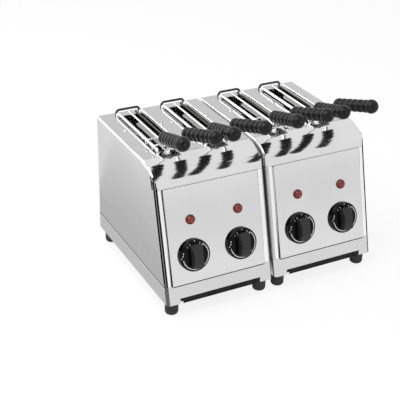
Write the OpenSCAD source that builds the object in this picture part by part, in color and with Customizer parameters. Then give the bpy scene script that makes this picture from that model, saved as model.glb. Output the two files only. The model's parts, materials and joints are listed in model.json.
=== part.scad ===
// Four-slot tong toaster: two identical two-slot steel modules that stand side by side,
// with a pair of wire sandwich tongs in each module, a timer dial and a pilot lamp per slot.
// Millimetres. X to the right, Y to the back, Z up, floor at Z = 0.

/* [Modules] */
// Width of one module
module_w = 200; // [180:1:230]
// Free space between the two modules
module_gap = 5; // [3:0.5:12]
// Depth of a module at the lower edge of its skirt
base_depth = 294; // [284:0.5:316]
// Lean of the front, from the vertical, in degrees
front_slope = 14.5; // [10:0.1:15.5]
// Thickness of the casing sheet
sheet_t = 1.2; // [0.8:0.1:1.6]
// Visible gap between neighbouring sheets
seam = 0.4; // [0.3:0.1:0.8]
// Outer radius of the upright front corners
corner_r = 6.5; // [4:0.5:9]
// Width of the folded flange beside the fascia and the back panel
flange_w = 13; // [10:0.5:18]

/* [Heights] */
// Lower edge of the skirt and the legs
skirt_z = 26; // [22:0.5:30]
// Lower edge of the apron between the legs
apron_z = 34.5; // [32:0.5:42]
// Joint between the base and the casing
seam_z = 57; // [52:0.5:62]
// Upper edge of the fascia
fascia_top_z = 216.5; // [208:0.5:219]
// Crease between the curved front and the band above the fascia
crease_z = 228; // [224:0.1:232]
// Flat top of the casing
top_z = 250.5; // [246:0.5:260]
// Radius of the curved front of the top
front_r = 66; // [58:1:72]
// Depth of the turned-down edge of the top
lip_h = 3.5; // [2.5:0.5:6]

/* [Base] */
// Width of a leg beside the apron
leg_w = 24; // [18:0.5:26]
// Diameter of a rubber foot
foot_d = 23; // [18:0.5:24]
// Rounding of the lower edge of a foot
foot_round = 5; // [2:0.5:7]
// Distance of a foot's axis from the sides and the back
foot_inset = 16; // [15:0.5:18]
// Distance of a front foot's axis from the lower front edge
foot_front = 18; // [17:0.5:22]
// Free space between the crumb tray and a foot
tray_side = 2.5; // [2:0.5:15]
// Height of the crumb tray
tray_h = 7.6; // [5:0.1:8]
// Distance of the tray's front from the lower front edge
tray_setback = 5.5; // [5:0.5:20]
// Width of the finger lip that folds forward from the tray's front
tray_lip = 4; // [3:0.5:5]
// Running gap between the tray and its runners
tray_clear = 0.4; // [0.2:0.1:0.6]
// Width of the runner lip under the tray's edge
runner_lip = 7; // [4:0.5:10]

/* [Slots] */
// Distance between the two slots of a module
slot_pitch = 88; // [84:0.5:92]
// Width of a slot
slot_w = 46; // [44:0.5:50]
// Length of a slot
slot_l = 160; // [158:1:164]
// Distance of a slot from the back of the casing
slot_back = 20; // [19:0.5:24]
// Corner radius of a slot
slot_r = 7; // [4:0.5:10]
// Depth of the turned-down rim of a slot
slot_rim = 6; // [3:0.5:10]
// Diameter of a guard rod
guard_d = 5; // [4:0.5:5.5]
// Distance between the two guard rods of a slot
guard_span = 44; // [42:0.5:45]
// Height of a guard rod's axis above the top
guard_rise = 6; // [5:0.5:8]
// Distance of a guard rod's legs from the ends of the slot
guard_over = 5.5; // [5:0.25:6]
// Bend radius of the guard rods
guard_bend = 8; // [5:0.5:10]
// Depth to which a guard hangs below the top
guard_drop = 140; // [110:1:150]
// Diameter of the guard's cross wires
guard_wire_d = 2.5; // [1.5:0.1:3]
// Number of the guard's cross wires
guard_wires = 4; // [2:1:6]
// Gap round a guard rod in the top
guard_clear = 0.2; // [0.1:0.1:0.4]
// Diameter of the arched bar behind a slot
arch_d = 4; // [3:0.25:4.5]
// Height of the arched bar's axis above the top
arch_rise = 8; // [7:0.5:10]
// Bend radius of the arched bar
arch_bend = 6; // [4:0.5:7]
// Gap between the arched bar and the guard rods
arch_gap = 0.5; // [0.3:0.1:1]

/* [Heaters] */
// Outer diameter of a quartz tube
tube_d = 10; // [8:0.5:11]
// Wall of a quartz tube
tube_wall = 1; // [0.6:0.1:1.5]
// Distance of the tubes from the middle of their slot
tube_off = 31; // [30:0.5:31.5]
// Number of tubes on each side of a slot
tube_rows = 3; // [2:1:3]
// Height of the lowest tube
tube_z = 114; // [106:1:120]
// Distance between the tubes
tube_pitch = 40; // [30:1:44]
// Gap between a tube and the plate that it passes through
tube_clear = 0.3; // [0.2:0.1:0.5]
// Diameter of the ceramic cap on a tube's end
cap_d = 14; // [13:0.5:15]
// Distance of a reflector from the middle of its slot
reflector_off = 38; // [37.5:0.5:40]
// Lower edge of the reflectors
reflector_z = 76; // [70:1:85]
// Width of the reflector's upper flange
reflector_flange = 10; // [8:0.5:11]
// Free space between a bulkhead and the guard's legs
bulkhead_gap = 2; // [1:0.25:2.5]
// Width of a bulkhead's foot on the deck
bulkhead_foot = 9; // [6:0.5:9]

/* [Controls] */
// Distance between the two dials of a module, and between its two lamps
dial_pitch = 88; // [80:0.5:94]
// Height of a dial's axis at the fascia
dial_z = 102; // [95:0.5:109]
// Diameter of a dial
dial_d = 55; // [48:0.5:58]
// Thickness of a dial's disc
dial_t = 7; // [5:0.5:9]
// Width of the dial's grip bar
bar_w = 16; // [12:0.5:20]
// Length of the dial's grip bar
bar_l = 41; // [36:0.5:44]
// Height of the grip bar over the disc
bar_h = 13; // [9:0.5:16]
// Radius of the dished flanks of the grip bar
bar_dish = 80; // [40:1:120]
// Gap between the dial and the fascia
dial_gap = 0.8; // [0.5:0.1:1.5]
// Height of the fascia over the flanges beside it
fascia_proud = 1.5; // [1:0.1:2.5]
// Depth of the fascia's folded edges
fascia_fold = 8; // [5:0.5:9]
// Diameter of a timer's shaft
shaft_d = 6; // [5:0.5:8]
// Depth to which the shaft enters the dial and the timer
shaft_in = 11; // [8:0.5:14]
// Radial running gap of the shafts and pivot pins
run_clear = 0.05; // [0.02:0.01:0.1]
// Width and height of a timer's case
timer_w = 42; // [36:1:46]
// Depth of a timer's case
timer_l = 30; // [24:1:34]
// Height of a lamp's axis at the fascia
lamp_z = 160.5; // [150:0.5:167]
// Outer diameter of a lamp's bezel
bezel_d = 17; // [15:0.5:20]
// Height of a lamp's bezel
bezel_h = 2.4; // [1.5:0.1:4]
// Diameter of a lamp's lens
lens_d = 13.4; // [11:0.2:14]
// Height of the lens dome over the bezel
lens_h = 4.2; // [3:0.1:5]
// Diameter of a lamp's case behind the fascia
lamp_d = 12; // [10:0.5:12.5]
// Length of a lamp's case behind the fascia
lamp_l = 26; // [18:1:30]

/* [Tongs] */
// Diameter of a tong's frame rod
frame_d = 4; // [3:0.25:4.5]
// Distance between the axes of a tong's two frames
frame_gap = 11; // [10:0.5:12]
// Distance of a frame from the back of its slot
frame_back = 14; // [10:0.5:16]
// Length of a frame
frame_l = 138; // [128:1:140]
// Depth of a frame, from the axis of its top rod
frame_h = 118; // [100:1:125]
// Corner radius of a frame
frame_bend = 10; // [6:0.5:14]
// Length of the finger on which the top rod ends behind the frame
frame_tail = 4; // [3:0.5:8]
// Diameter of a frame's grid wires
grid_d = 2.2; // [1.6:0.1:2.6]
// Number of upright grid wires
grid_uprights = 6; // [4:1:8]
// Number of level grid wires
grid_levels = 3; // [2:1:4]
// Diameter of the hooks that hang on the guard rods
hook_d = 3; // [2:0.25:3.5]
// Gap between a hook and its guard rod
hook_gap = 0.3; // [0.2:0.1:0.5]
// Reach of a hook past the guard rod's axis
hook_over = 5; // [4.5:0.25:7]
// Depth of a hook's turned-down end
hook_drop = 5; // [4.5:0.25:5.5]
// Distance of the front hook from the slot's front end
hook_front = 5; // [4:0.5:8]
// Distance between a tong's two hooks
hook_pitch = 25; // [18:0.5:30]
// Thickness of the tang plates
tang_t = 1.5; // [1.2:0.1:1.7]
// Width of the tang plates
tang_w = 11; // [9:0.5:11]
// Length of the left tang behind the pivot
tang_long = 108; // [60:1:120]
// Length of the right tang behind the pivot
tang_short = 26; // [22:1:40]
// Running gap between the two tangs
tang_gap = 0.3; // [0.2:0.1:0.4]
// Distance of the pivot from the front end of its slot
pivot_front = 9; // [8:0.5:11]
// Diameter of the pivot pin
pin_d = 4; // [3:0.25:4.5]
// Diameter of the pivot pin's heads
pin_head_d = 8; // [6:0.5:9]
// Diameter of the pivot ear on each tang
ear_d = 13; // [10:0.5:13]
// Diameter of the spring wire
spring_d = 1.2; // [0.8:0.1:1.4]
// Number of turns of the spring
spring_turns = 3; // [2:1:4]
// Free space between the turns of the spring
spring_space = 0.5; // [0.45:0.05:0.8]
// Diameter of a shank, which carries a grip
shank_d = 6; // [5:0.25:6.5]
// Bend radius of the shanks
shank_bend = 7; // [6:0.5:8]
// Distance of a grip's root from the middle of its slot
grip_root_x = 20; // [17:0.5:22]
// Distance of a grip's root in front of the pivot
grip_root_y = 13; // [10:0.5:18]
// Height of a grip's root above the top
grip_root_h = 34.5; // [30:0.5:40]
// Outward splay of a grip, in degrees
grip_splay = 5.5; // [3:0.5:6]
// Rise of a grip, in degrees
grip_rise = 17.5; // [12:0.5:22]
// Length of a grip
grip_l = 101; // [85:1:110]
// Diameter of a grip over its beads
grip_d = 22; // [18:0.5:24]
// Diameter of the knob that ends a grip
grip_end_d = 24; // [20:0.5:25]
// Number of beads along a grip
grip_beads = 6; // [4:1:7]
// Depth of the grooves between the beads
grip_groove = 2.2; // [1:0.1:3]
// Depth of the bore that takes the shank
grip_bore = 50; // [30:1:60]

/* [Back] */
// Outer diameter of a cable gland
gland_d = 16; // [12:0.5:20]
// Diameter of the cable hole in a gland
gland_bore_d = 9; // [6:0.5:10]
// Reach of a gland behind the casing
gland_out = 12; // [8:0.5:16]
// Distance of a gland from the middle of its module
gland_x = 62; // [50:1:70]
// Height of a gland's axis
gland_z = 80; // [75:1:95]
// Width of a vent slit
vent_w = 58; // [40:1:64]
// Height of a vent slit
vent_h = 5; // [3:0.5:6]
// Distance between the vent slits
vent_pitch = 13; // [9:0.5:14]
// Number of vent slits in a column
vent_rows = 7; // [4:1:7]
// Height of the lowest vent slit
vent_z = 118; // [110:1:126]

/* [Fasteners] */
// Diameter of a case screw's head
screw_head_d = 7; // [5:0.5:8]
// Height of a case screw's head
screw_head_h = 2.6; // [1.5:0.1:3]
// Diameter of a case screw's shank
screw_d = 4; // [3:0.5:5]
// Length of a case screw's shank
screw_l = 6; // [5:0.5:8]
// Gap round a screw or bolt in its hole
screw_clear = 0.1; // [0.05:0.05:0.2]
// Distance of a top screw from the middle of its slot
top_screw_x = 34; // [33:0.5:34]
// Distance of the top screws from the back of the casing
top_screw_y = 80; // [60:1:140]
// Diameter of a joining bolt
bolt_d = 6; // [4:0.5:8]
// Diameter of a joining bolt's head, nut and spacer
bolt_head_d = 12; // [10:0.5:14]
// Thickness of a joining bolt's head and nut
bolt_head_h = 4; // [3:0.5:6]
// Height of the joining bolts
bolt_z = 45.5; // [44:0.5:46]
// Distance of the joining bolts from the middle of the module's depth
bolt_spread = 70; // [40:1:90]

/* [Hidden] */
$fn = 48;
sides = [-1, 1];
slots = [1, 2, 3, 4];
half_w = module_w / 2;
module_x = (module_w + module_gap) / 2;
eps = 1;
far = 3 * base_depth;

// Distance of the front plane from the back of the casing at height z
function front_b(z) = base_depth - (z - skirt_z) * tan(front_slope);
arc_turn = acos(1 - (top_z - crease_z) / front_r);
arc_b = front_b(crease_z) - front_r * sin(arc_turn);
arc_z = top_z - front_r;

// Levels inside the casing
deck_z = seam_z - sheet_t;
tray_top = apron_z - tray_clear;
tray_z = tray_top - tray_h;
tray_front_b = base_depth - tray_setback;
tray_w = module_w - 2 * (foot_inset + foot_d / 2 + tray_side);
tray_back_b = foot_inset - foot_d / 2;
foot_front_b = base_depth - foot_front;

// Guards and bulkheads
guard_back_b = slot_back - guard_over;
guard_front_b = slot_back + slot_l + guard_over;
arch_b = guard_back_b - guard_d / 2 - arch_gap - arch_d / 2;
bulkhead_back_b = guard_back_b - guard_d / 2 - bulkhead_gap;
bulkhead_front_b = guard_front_b + guard_d / 2 + bulkhead_gap;
bulkhead_top = top_z - sheet_t - seam;
oven_b = [bulkhead_back_b, bulkhead_front_b];
// The ceramic caps fill the space between the rear bulkhead and the back panel
cap_l = bulkhead_back_b - 3 * sheet_t - seam;

// Fascia, measured along the slope
fascia_w = module_w - 2 * flange_w - 2 * seam;
fascia_back = fascia_proud - sheet_t;
dial_back = fascia_proud + dial_gap;
shaft_tip = dial_back + shaft_in;
shaft_root = fascia_back - shaft_in;

// Tongs, in a slot's frame: heights from the top, distances from the back
pivot_b = slot_back + slot_l + pivot_front;
hook_h = guard_rise + guard_d / 2 + hook_gap + hook_d / 2;
frame_x = frame_gap / 2;
frame_back_b = slot_back + frame_back;
frame_front_b = frame_back_b + frame_l;
rod_front_b = pivot_b - ear_d / 2 - 2 * seam;
hook_bs = [for (i = [0, 1]) slot_back + slot_l - hook_front - i * hook_pitch];
tang_sink = 0.8;
lower_tang = hook_h - frame_d / 2 + tang_sink - tang_t / 2;
upper_tang = lower_tang + tang_t + tang_gap;
shank_sink = 0.5;
shank_x = tang_w / 2 + frame_x;
pin_head_h = tang_t;
pin_foot = lower_tang - tang_t / 2 - tang_gap - pin_head_h;
spring_low = upper_tang + tang_t / 2 + tang_gap;
spring_rise = spring_d + spring_space;
spring_r = pin_d / 2 + spring_d / 2 + tang_gap;
spring_rings = 8;
spring_last = spring_turns * spring_rings;
spring_leg = shank_x - shank_d / 2 - 3 * tang_gap;
pin_top = spring_low + spring_d + spring_turns * spring_rise + tang_gap;
grip_root_b = pivot_b + grip_root_y;
grip_tip_b = grip_root_b + grip_end_d / 2
    + (grip_l - grip_end_d / 2) * cos(grip_splay) * cos(grip_rise);

// The origin is under the middle of the whole outline
back_y = (grip_tip_b - gland_out) / 2;

// Places

// A module's own frame: its middle in X, its back in Y, the floor in Z
module in_module(m) { translate([m * module_x, back_y, 0]) children(); }

// A slot's own frame: its middle in X, the casing's back in Y, the flat top in Z
function slot_module(i) = i <= 2 ? -1 : 1;
function slot_side(i) = i % 2 == 1 ? -1 : 1;
function slot_x(i) = slot_module(i) * module_x + slot_side(i) * slot_pitch / 2;
module in_slot(i) { translate([slot_x(i), back_y, top_z]) children(); }

// A place on the sloped front, with Z along its outward normal
module on_front(x, z) { translate([x, -front_b(z), z]) rotate([90 - front_slope, 0, 0]) children(); }

// The place of dial or lamp number i
function control_x(i) = slot_module(i) * module_x + slot_side(i) * dial_pitch / 2;
module at_control(i, z) { translate([0, back_y, 0]) on_front(control_x(i), z) children(); }

// Shared shapes

// Turns the outline of a side view, drawn as Y and Z, into a slab across X
module across(w) { rotate([90, 0, 90]) translate([0, 0, -w / 2]) linear_extrude(w) children(); }

// Rectangle with rounded corners, from its middle
module round_rect(w, l, r) {
    square([w, l - 2 * r], center = true);
    square([w - 2 * r, l], center = true);
    for (x = sides, y = sides) translate([x * (w / 2 - r), y * (l / 2 - r)]) circle(r);
}

// Slit with round ends, along X
module slit(w, h) {
    square([w - h, h], center = true);
    for (x = sides) translate([x * (w - h) / 2, 0]) circle(h / 2);
}

// Frame whose Z runs along z_dir and whose X lies towards x_dir
module aim(at, x_dir, z_dir) {
    z = z_dir / norm(z_dir);
    y = cross(z, x_dir) / norm(cross(z, x_dir));
    x = cross(y, z);
    multmatrix([[x.x, y.x, z.x, at.x], [x.y, y.y, z.y, at.y], [x.z, y.z, z.z, at.z]]) children();
}

function unit(v) = v / norm(v);

// A bend is a little thicker than its bar, and the bar's end laps into it
bend_swell = 0.05;
bend_lap = 0.4;
function any_side(v) = abs(v.x) < 0.9 * norm(v) ? [1, 0, 0] : [0, 1, 0];

// Round bar from a to b
module bar(a, b, d) { aim(a, any_side(b - a), b - a) cylinder(d = d, h = norm(b - a)); }

// Half of the turn at the corner a, b, c, and the straight length that its bend takes up
function half_turn(a, b, c) = 90 - acos(unit(a - b) * unit(c - b)) / 2;
function bend_run(a, b, c, r) = r * tan(half_turn(a, b, c));

// Bend of a round bar at the corner a, b, c
module elbow(a, b, c, d, r) {
    half = half_turn(a, b, c);
    middle = b + unit(unit(a - b) + unit(c - b)) * r / cos(half);
    start = b + unit(a - b) * bend_run(a, b, c, r) - middle;
    end = b + unit(c - b) * bend_run(a, b, c, r) - middle;
    aim(middle, start, cross(start, end))
        rotate_extrude(angle = 2 * half) translate([r, 0]) circle(d / 2 + bend_swell);
}

// Round bar through the points p, bent with radius r at each inner point
module wire(p, d, r) {
    n = len(p);
    for (i = [0 : n - 2]) {
        cut_a = i == 0 ? 0 : bend_run(p[i - 1], p[i], p[i + 1], r) - bend_lap;
        cut_b = i == n - 2 ? 0 : bend_run(p[i], p[i + 1], p[i + 2], r) - bend_lap;
        along = unit(p[i + 1] - p[i]);
        bar(p[i] + along * cut_a, p[i + 1] - along * cut_b, d);
    }
    for (i = [1 : 1 : n - 2]) elbow(p[i - 1], p[i], p[i + 1], d, r);
}

// Closed upright loop of round bar in the plane x, between two depths and two heights
module loop(x, b_back, b_front, h_low, h_high, d, r) {
    mid = -(b_back + b_front) / 2;
    wire([[x, mid, h_low], [x, -b_front, h_low], [x, -b_front, h_high],
        [x, -b_back, h_high], [x, -b_back, h_low], [x, mid, h_low]], d, r);
}

// Side view of the casing's back, top and curved front, drawn in by inset
module side_outline(inset, low) {
    translate([-arc_b, arc_z]) circle(front_r - inset, $fn = 180);
    translate([-arc_b, low]) square([arc_b - inset, top_z - inset - low]);
    translate([-far, low]) square([far - inset, max(arc_z - low, eps)]);
}

// Upright block that leans with the front and has its rounded front corners
module leaning_block(inset) {
    w = half_w - inset;
    r = max(corner_r - inset, 0.5);
    translate([0, -base_depth, skirt_z]) rotate([-front_slope, 0, 0])
        translate([0, 0, -top_z]) linear_extrude(3 * top_z) {
            translate([-w, inset + r]) square([2 * w, far]);
            translate([r - w, inset]) square([2 * (w - r), 2 * r]);
            for (x = sides) translate([x * (w - r), inset + r]) circle(r);
        }
}

// Solid casing, drawn in by inset
module casing(inset, low) {
    intersection() {
        across(module_w + 2 * eps) side_outline(inset, low);
        leaning_block(inset);
    }
}

// Side view of what lies under the turned-down edge of the top
module under_lip(gap) {
    drop = lip_h + gap;
    translate([-far, -eps]) square([far + eps, fascia_top_z - gap + eps]);
    intersection() {
        side_outline(drop, seam_z);
        translate([corner_r + 2 * sheet_t, 0])
            polygon([[-front_b(0), 0], [-front_b(top_z), top_z], [0, top_z], [0, 0]]);
    }
    translate([-drop - eps, -eps]) square([drop + 2 * eps, top_z - drop + eps]);
}

// Solid base, drawn in by inset
module base_block(inset, low, high) {
    intersection() {
        across(module_w + 2 * eps) translate([-far, low]) square([far - inset, high - low]);
        leaning_block(inset);
    }
}

// Places that repeat in a module

module at_slots() { for (s = sides) translate([s * slot_pitch / 2, 0, 0]) children(); }

module at_tubes() {
    at_slots() for (x = sides, i = [0 : tube_rows - 1])
        translate([x * tube_off, 0, tube_z + i * tube_pitch]) children();
}

module at_top_screws() {
    at_slots() for (x = sides) translate([x * top_screw_x, -top_screw_y, top_z]) children();
}

module at_back_screws() {
    for (x = sides, z = [seam_z + flange_w, top_z - 2 * flange_w])
        translate([x * (half_w - flange_w / 2), 0, z]) rotate([-90, 0, 0]) children();
}

module at_feet() {
    for (x = sides, b = [foot_inset, foot_front_b])
        translate([x * (half_w - foot_inset), -b, 0]) children();
}

bolt_bs = [for (s = sides) base_depth / 2 + s * bolt_spread];

// Base

// Skirt with deck, legs, foot plates and tray runners
module base_frame(m) {
    foot_plate = foot_inset + foot_d / 2;
    runner_x = tray_w / 2 + tray_clear;
    runner_z = tray_z - tray_clear - sheet_t;
    color("silver") in_module(m) difference() {
        union() {
            difference() {
                base_block(0, skirt_z, seam_z);
                base_block(sheet_t, skirt_z - eps, deck_z);
                translate([0, 0, skirt_z - eps]) linear_extrude(apron_z - skirt_z + eps)
                    translate([leg_w - half_w, -base_depth - eps])
                        square([module_w - 2 * leg_w, base_depth + 2 * eps]);
            }
            intersection() {
                base_block(sheet_t / 2, apron_z, apron_z + sheet_t);
                for (x = sides, b = [0, foot_front_b - foot_d / 2])
                    translate([x * (half_w - foot_plate / 2), -b - foot_plate / 2, apron_z])
                        cube([foot_plate, foot_plate, far], center = true);
            }
            for (x = sides) mirror([x < 0 ? 1 : 0, 0, 0])
                translate([runner_x, -tray_front_b, 0]) {
                    translate([0, 0, runner_z])
                        cube([sheet_t, tray_front_b - sheet_t / 2, deck_z - runner_z + sheet_t / 2]);
                    translate([-runner_lip, 0, runner_z])
                        cube([runner_lip + sheet_t / 2, tray_front_b - tray_back_b, sheet_t]);
                }
        }
        translate([0, 0, deck_z - eps]) linear_extrude(sheet_t + 2 * eps)
            translate([0, -(oven_b[0] + oven_b[1]) / 2])
                round_rect(tray_w - runner_lip * 2, slot_l - 2 * bulkhead_foot, slot_r);
        for (b = bolt_bs) translate([-m * half_w, -b, bolt_z]) rotate([0, 90, 0])
            cylinder(d = bolt_d + 2 * screw_clear, h = 6 * sheet_t, center = true);
    }
}

// Rubber feet with rounded lower edges
module rubber_feet() {
    r = foot_d / 2;
    color("#202020") for (m = sides) in_module(m) at_feet() rotate_extrude() {
        translate([0, foot_round]) square([r, apron_z - foot_round]);
        square([r - foot_round, foot_round + eps]);
        translate([r - foot_round, foot_round]) intersection() {
            circle(foot_round);
            translate([0, -foot_round]) square(2 * foot_round);
        }
    }
}

// Crumb tray with a finger lip along its front
module crumb_tray(m) {
    l = tray_front_b - tray_back_b;
    color("dimgray") in_module(m) translate([-tray_w / 2, -tray_front_b, tray_z]) {
        difference() {
            cube([tray_w, l, tray_h]);
            translate([sheet_t, sheet_t, sheet_t]) cube([tray_w - 2 * sheet_t, l - 2 * sheet_t, far]);
        }
        translate([0, -tray_lip, tray_h - sheet_t]) cube([tray_w, tray_lip + sheet_t / 2, sheet_t]);
        translate([0, -tray_lip, tray_h / 3]) cube([tray_w, sheet_t, tray_h * 2 / 3]);
    }
}

// Casing

// Side wall with its rounded front corner and its flanges
module side_panel(m, s) {
    low = seam_z + seam;
    color("gainsboro") in_module(m) difference() {
        intersection() {
            casing(0, low);
            across(2 * module_w) under_lip(seam);
            translate([s * (half_w - flange_w / 2), -far / 2 + eps, 0])
                cube([flange_w, far, far], center = true);
        }
        casing(sheet_t, low - eps);
        at_back_screws() cylinder(d = screw_d + 2 * screw_clear, h = 4 * sheet_t, center = true);
    }
}

// Flat top with its slots, curved front and the band above the fascia
module top_cover(m) {
    mid = slot_back + slot_l / 2;
    color("white") in_module(m) difference() {
        union() {
            difference() {
                casing(0, fascia_top_z - lip_h);
                casing(sheet_t, fascia_top_z - lip_h - eps);
                across(2 * module_w) under_lip(0);
            }
            at_slots() translate([0, -mid, top_z - slot_rim]) linear_extrude(slot_rim - sheet_t / 2)
                round_rect(slot_w + 2 * sheet_t, slot_l + 2 * sheet_t, slot_r + sheet_t);
        }
        at_slots() translate([0, -mid, top_z - slot_rim - eps]) linear_extrude(slot_rim + 2 * eps)
            round_rect(slot_w, slot_l, slot_r);
        at_slots() for (x = sides, b = [guard_back_b, guard_front_b])
            translate([x * guard_span / 2, -b, top_z - slot_rim - eps])
                cylinder(d = guard_d + 2 * guard_clear, h = slot_rim + 2 * eps);
        at_top_screws() cylinder(d = screw_d + 2 * screw_clear, h = 4 * sheet_t, center = true);
    }
}

// Front plate with folded edges, for the dials and the lamps
module fascia(m) {
    low = seam_z + seam;
    rise = (fascia_top_z - seam_z) / cos(front_slope);
    top = rise - seam;
    color("lightgray") in_module(m) difference() {
        intersection() {
            on_front(0, seam_z) difference() {
                translate([-fascia_w / 2, -fascia_fold, -fascia_fold])
                    cube([fascia_w, top + fascia_fold, fascia_fold + fascia_proud]);
                translate([sheet_t - fascia_w / 2, -2 * fascia_fold, -far])
                    cube([fascia_w - 2 * sheet_t, top - sheet_t + 2 * fascia_fold, far + fascia_back]);
            }
            translate([-half_w, -far, low]) cube([module_w, far, far]);
        }
        for (s = sides) {
            on_front(s * dial_pitch / 2, dial_z)
                cylinder(d = shaft_d + 4 * sheet_t, h = 6 * fascia_proud, center = true);
            on_front(s * dial_pitch / 2, lamp_z)
                cylinder(d = lamp_d + 2 * screw_clear, h = 6 * fascia_proud, center = true);
        }
    }
}

// Back plate with vent slits, between the side panels' flanges
module back_panel(m) {
    w = module_w - 2 * sheet_t - 2 * seam;
    low = seam_z + seam;
    high = top_z - slot_rim - seam;
    color("silver") in_module(m) difference() {
        translate([-w / 2, -2 * sheet_t, low]) cube([w, sheet_t, high - low]);
        for (x = sides, i = [0 : vent_rows - 1])
            translate([x * slot_pitch / 2, 0, vent_z + i * vent_pitch]) rotate([90, 0, 0])
                linear_extrude(6 * sheet_t, center = true) slit(vent_w, vent_h);
        translate([gland_x, 0, gland_z]) rotate([90, 0, 0])
            cylinder(d = gland_d - 2 * sheet_t + 2 * screw_clear, h = 6 * sheet_t, center = true);
        at_back_screws() cylinder(d = screw_d + 2 * screw_clear, h = 8 * sheet_t, center = true);
    }
}

// Oven

// Plate across the module that carries the tubes' ends, with a foot on the deck inside the oven;
// it lies behind b where out is 1, and before b where out is -1
module bulkhead(m, b, out) {
    w = module_w - 2 * sheet_t - 2 * seam;
    y = out > 0 ? -b : -b - sheet_t;
    foot_y = out > 0 ? -b - bulkhead_foot : -b - sheet_t;
    color("darkgray") in_module(m) difference() {
        union() {
            translate([-w / 2, y, seam_z]) cube([w, sheet_t, bulkhead_top - seam_z]);
            translate([-w / 2, foot_y, seam_z]) cube([w, bulkhead_foot + sheet_t, sheet_t]);
        }
        at_tubes() translate([0, y - eps, 0]) rotate([-90, 0, 0])
            cylinder(d = tube_d + 2 * tube_clear, h = sheet_t + 2 * eps);
        for (x = sides) translate([x * (half_w - fascia_fold), y - eps, seam_z + 3 * bulkhead_foot])
            rotate([-90, 0, 0]) cylinder(d = fascia_fold, h = sheet_t + 2 * eps);
    }
}

// Wire guards that hang in the two slots and stand over the top as rods, with an arched bar behind each slot
module guard_rack(m) {
    reach = guard_span / 2;
    color("whitesmoke") in_module(m) at_slots() translate([0, 0, top_z]) {
        for (x = sides * reach) {
            loop(x, guard_back_b, guard_front_b, -guard_drop, guard_rise, guard_d, guard_bend);
            for (i = [1 : guard_wires]) {
                h = -guard_drop * i / (guard_wires + 1);
                bar([x, -guard_back_b, h], [x, -guard_front_b, h], guard_wire_d);
            }
        }
        wire([[-reach, -arch_b, 0], [-reach, -arch_b, arch_rise], [reach, -arch_b, arch_rise],
            [reach, -arch_b, 0]], arch_d, arch_bend);
    }
}

// Heat reflectors behind the tubes, hung from the top by a flange
module reflectors(m) {
    l = bulkhead_front_b - bulkhead_back_b;
    high = top_z - sheet_t;
    color("gainsboro") in_module(m) at_slots() for (x = sides) mirror([x > 0 ? 0 : 1, 0, 0]) difference() {
        translate([reflector_off, -bulkhead_front_b, 0]) {
            translate([0, 0, reflector_z]) cube([sheet_t, l, high - reflector_z]);
            translate([-reflector_flange, 0, high - sheet_t])
                cube([reflector_flange + sheet_t / 2, l, sheet_t]);
            translate([-reflector_flange / 2, 0, reflector_z])
                cube([reflector_flange / 2 + sheet_t / 2, l, sheet_t]);
        }
        translate([top_screw_x, -top_screw_y, high])
            cylinder(d = screw_d + 2 * screw_clear, h = 8 * sheet_t, center = true);
    }
}

// Quartz tubes beside the slots
module quartz_tubes() {
    reach = cap_l - sheet_t;
    l = bulkhead_front_b - bulkhead_back_b + 2 * reach;
    color("lightyellow") for (m = sides) in_module(m) at_tubes()
        translate([0, -bulkhead_front_b - reach, 0]) rotate([-90, 0, 0]) difference() {
            cylinder(d = tube_d, h = l);
            translate([0, 0, -eps]) cylinder(d = tube_d - 2 * tube_wall, h = l + 2 * eps);
        }
}

// Ceramic caps on the tubes' ends, against the bulkheads
module tube_caps() {
    reach = cap_l - sheet_t;
    color("ivory") for (m = sides) in_module(m) at_tubes() for (e = sides)
        translate([0, e > 0 ? -bulkhead_back_b : -bulkhead_front_b, 0]) rotate([-90 * e, 0, 0]) difference() {
            translate([0, 0, sheet_t]) cylinder(d = cap_d, h = cap_l);
            translate([0, 0, -eps]) cylinder(d = tube_d, h = reach + eps);
        }
}

// Controls

// Timer dial: a thin disc with a rounded rim and a grip bar with dished flanks
module dial(i) {
    rim = dial_t / 2;
    r = dial_d / 2;
    color("#181818") at_control(i, dial_z) translate([0, 0, dial_back]) difference() {
        union() {
            rotate_extrude() {
                square([r - rim, dial_t]);
                square([r, rim]);
                translate([r - rim, rim]) circle(rim);
            }
            intersection() {
                translate([0, 0, dial_t / 2]) linear_extrude(bar_h + dial_t) difference() {
                    circle(d = bar_l);
                    for (x = sides) translate([x * (bar_w / 2 + bar_dish), 0]) circle(bar_dish, $fn = 120);
                }
                translate([0, 0, dial_t + bar_h - bar_l]) rotate([0, 90, 0])
                    cylinder(r = bar_l, h = far, center = true, $fn = 120);
            }
        }
        translate([0, 0, -eps]) cylinder(d = shaft_d + 2 * run_clear, h = shaft_in + eps);
    }
}

// Shaft between a timer and its dial
module timer_shaft(i) {
    color("gray") at_control(i, dial_z) translate([0, 0, shaft_root])
        cylinder(d = shaft_d, h = shaft_tip - shaft_root);
}

// Clockwork timers behind the fascia, each with a round boss in the fascia's hole
module timer_cases() {
    color("dimgray") for (i = slots) at_control(i, dial_z) difference() {
        union() {
            translate([0, 0, fascia_back - timer_l]) linear_extrude(timer_l)
                round_rect(timer_w, timer_w, slot_r / 2);
            cylinder(d = shaft_d + 3 * sheet_t, h = fascia_proud);
        }
        translate([0, 0, shaft_root]) cylinder(d = shaft_d + 2 * run_clear, h = far);
    }
}

// Domed lenses of the pilot lamps
module pilot_lenses() {
    r = (lens_d * lens_d / 4 + lens_h * lens_h) / (2 * lens_h);
    color("red") for (i = slots) at_control(i, lamp_z) translate([0, 0, fascia_proud + bezel_h / 2]) {
        cylinder(d = lens_d, h = bezel_h / 2);
        translate([0, 0, bezel_h / 2]) intersection() {
            translate([0, 0, lens_h - r]) sphere(r);
            cylinder(d = lens_d, h = far);
        }
    }
}

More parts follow.
